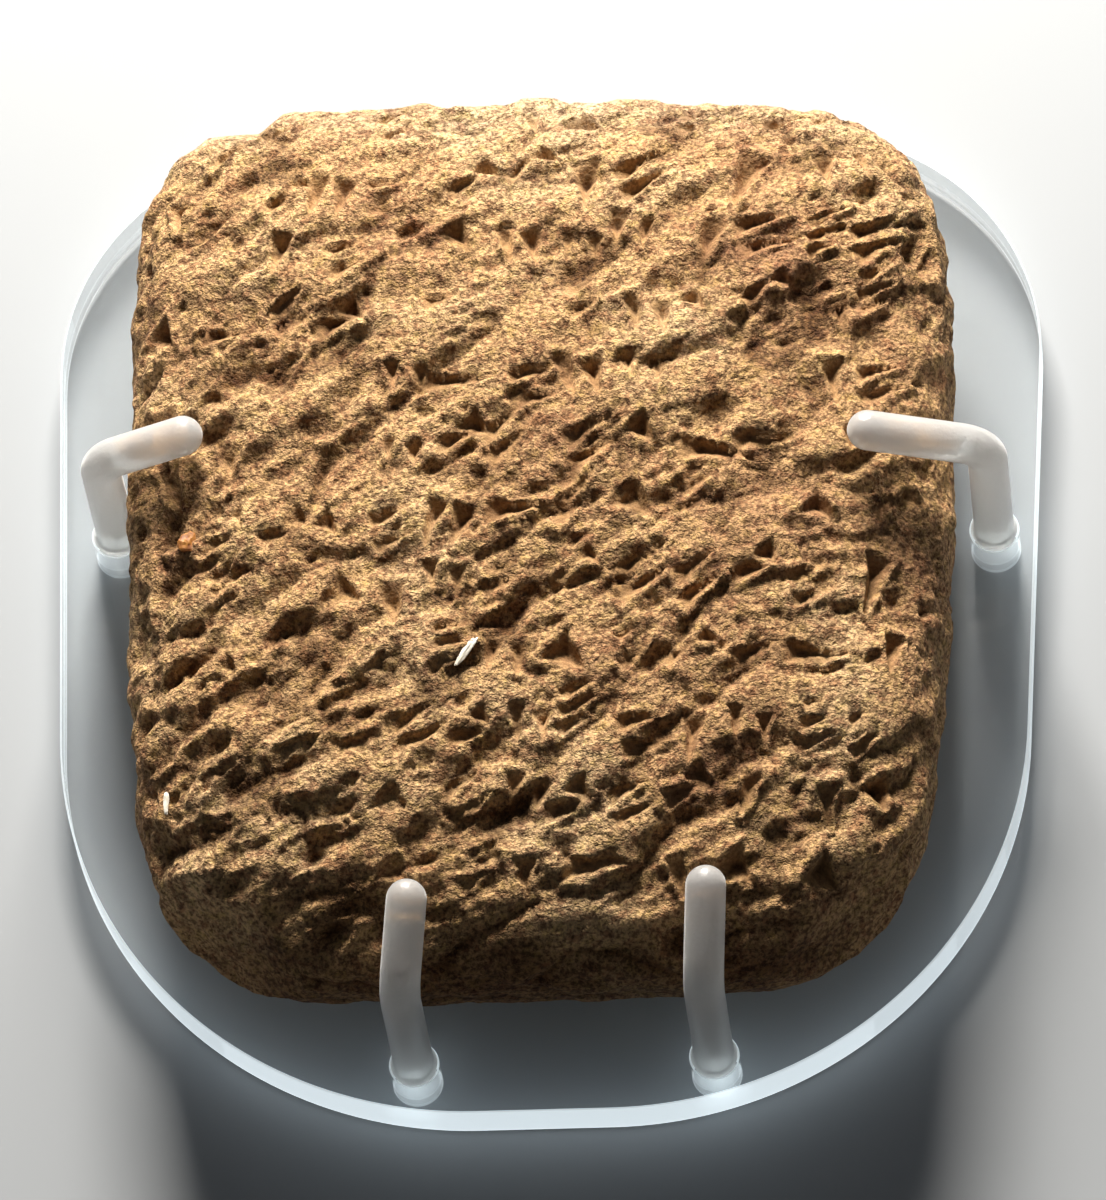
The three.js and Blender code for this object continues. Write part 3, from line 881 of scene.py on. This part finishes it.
def edge_material(name, painted_glow):
    """A stretch of the plate's cut edge, with a painted glow that stands in for the light that runs
    inside the sheet.
    """
    material, tree, shader = new_material(name)
    shader.inputs["Base Color"].default_value = (0.86, 0.92, 0.94, 1)
    shader.inputs["Roughness"].default_value = 0.4
    shader.inputs["IOR"].default_value = 1.49
    shader.inputs["Transmission Weight"].default_value = 0.4
    # painted glow: the edge gives off light of its own, standing in for light piped through the sheet
    shader.inputs["Emission Color"].default_value = (0.8, 0.9, 0.95, 1)
    shader.inputs["Emission Strength"].default_value = painted_glow
    shader.inputs["Alpha"].default_value = 0.7
    scratched(tree, shader, 900, 0.6)
    return material


def frosted_material():
    material, tree, shader = new_material("frosted_acrylic")
    shader.inputs["Base Color"].default_value = (1.0, 0.985, 0.95, 1)
    shader.inputs["Roughness"].default_value = 0.3
    shader.inputs["IOR"].default_value = 1.49
    shader.inputs["Transmission Weight"].default_value = 0.66
    shader.inputs["Subsurface Weight"].default_value = 0.8
    shader.inputs["Subsurface Radius"].default_value = (1.0, 1.0, 1.0)
    shader.inputs["Subsurface Scale"].default_value = 0.005
    shader.inputs["Sheen Weight"].default_value = 0.5
    shader.inputs["Sheen Roughness"].default_value = 0.4
    scratched(tree, shader, 2500, 0.5)
    return material


def floor_material():
    material, _, shader = new_material("pale_floor")
    shader.inputs["Base Color"].default_value = (0.38, 0.4, 0.42, 1)
    shader.inputs["Roughness"].default_value = 0.8
    return material


# Scene

def give(piece, material):
    piece.data.materials.clear()
    piece.data.materials.append(material)


tablet = make_tablet()
give(tablet, clay_material())
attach(tablet, "root")
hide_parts("clay_tablet")

minerals = {
    "orange_grain": mineral_material("orange_mineral", (0.22, 0.065, 0.008), (0.46, 0.19, 0.03)),
    "pale_fleck": mineral_material("pale_mineral", (0.6, 0.55, 0.45), (0.9, 0.86, 0.76)),
}
for index, mineral in enumerate(MINERALS):
    chip = make_mineral(index, *mineral)
    give(chip, minerals[mineral[-1]])
    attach(chip, "root")

frosted = frosted_material()
feet = []
for name in PRONGS:
    prong, foot = make_prong(name)
    give(prong, frosted)
    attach(prong, "root")
    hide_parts(name)
    feet.append(foot)

plate = make_plate(feet)
give(plate, clear_material())
# painted glow on the cut edge, stronger where the edge faces the bottom
for step in range(EDGE_STEPS):
    painted_glow = EDGE_BRIGHTEST - EDGE_DIMMING * step
    plate.data.materials.append(edge_material(f"painted_glow_edge_{step + 1}", painted_glow))
for polygon in plate.data.polygons:
    polygon.use_smooth = False
    if abs(polygon.normal.z) < 0.9:
        towards_top = (polygon.normal.y + EDGE_TURN_START) / EDGE_TURN_RANGE
        polygon.material_index = 1 + round((EDGE_STEPS - 1) * min(max(towards_top, 0), 1))
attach(plate, "root")
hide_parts("stand_plate")

floor = make_floor()
give(floor, floor_material())

# Camera, at the photograph's viewing angle
AZIMUTH = math.radians(9.0)
ELEVATION = math.radians(65.5)
DISTANCE = 1.3
TARGET = Vector((-0.00005, 0.0041, 0))
PHOTO_HEIGHT = 1200
PIXELS_PER_METRE = 9900
SENSOR = 36.0

backward = Vector((
    math.sin(AZIMUTH) * math.cos(ELEVATION),
    -math.cos(AZIMUTH) * math.cos(ELEVATION),
    math.sin(ELEVATION),
))
right = (-backward).cross(Vector((0, 1, 0))).normalized()
upward = backward.cross(right)
camera_data = bpy.data.cameras.new("camera")
camera_data.sensor_width = SENSOR
camera_data.lens = PIXELS_PER_METRE * DISTANCE * SENSOR / PHOTO_HEIGHT
camera_data.clip_start = 0.05
camera = placed("camera", camera_data)
turn = Matrix((right, upward, backward)).transposed().to_4x4()
camera.matrix_world = Matrix.Translation(TARGET + backward * DISTANCE) @ turn
bpy.context.scene.camera = camera


def area_light(name, place, size, power, colour):
    data = bpy.data.lights.new(name, "AREA")
    data.size = size
    data.energy = power
    data.color = colour
    light = placed(name, data)
    light.location = place
    light.rotation_euler = (-Vector(place)).to_track_quat("-Z", "Y").to_euler()


area_light("key", (-0.02, 0.39, 0.25), size=0.16, power=7.0, colour=(1.0, 0.95, 0.88))
area_light("fill", (0.2, 0.1, 1.2), size=0.8, power=0.3, colour=(0.95, 0.97, 1.0))

world = bpy.data.worlds.new("studio")
world.use_nodes = True
world.node_tree.nodes["Background"].inputs["Color"].default_value = (0.8, 0.84, 0.9, 1)
world.node_tree.nodes["Background"].inputs["Strength"].default_value = 0.06
bpy.context.scene.world = world
bpy.context.scene.view_settings.view_transform = "Standard"
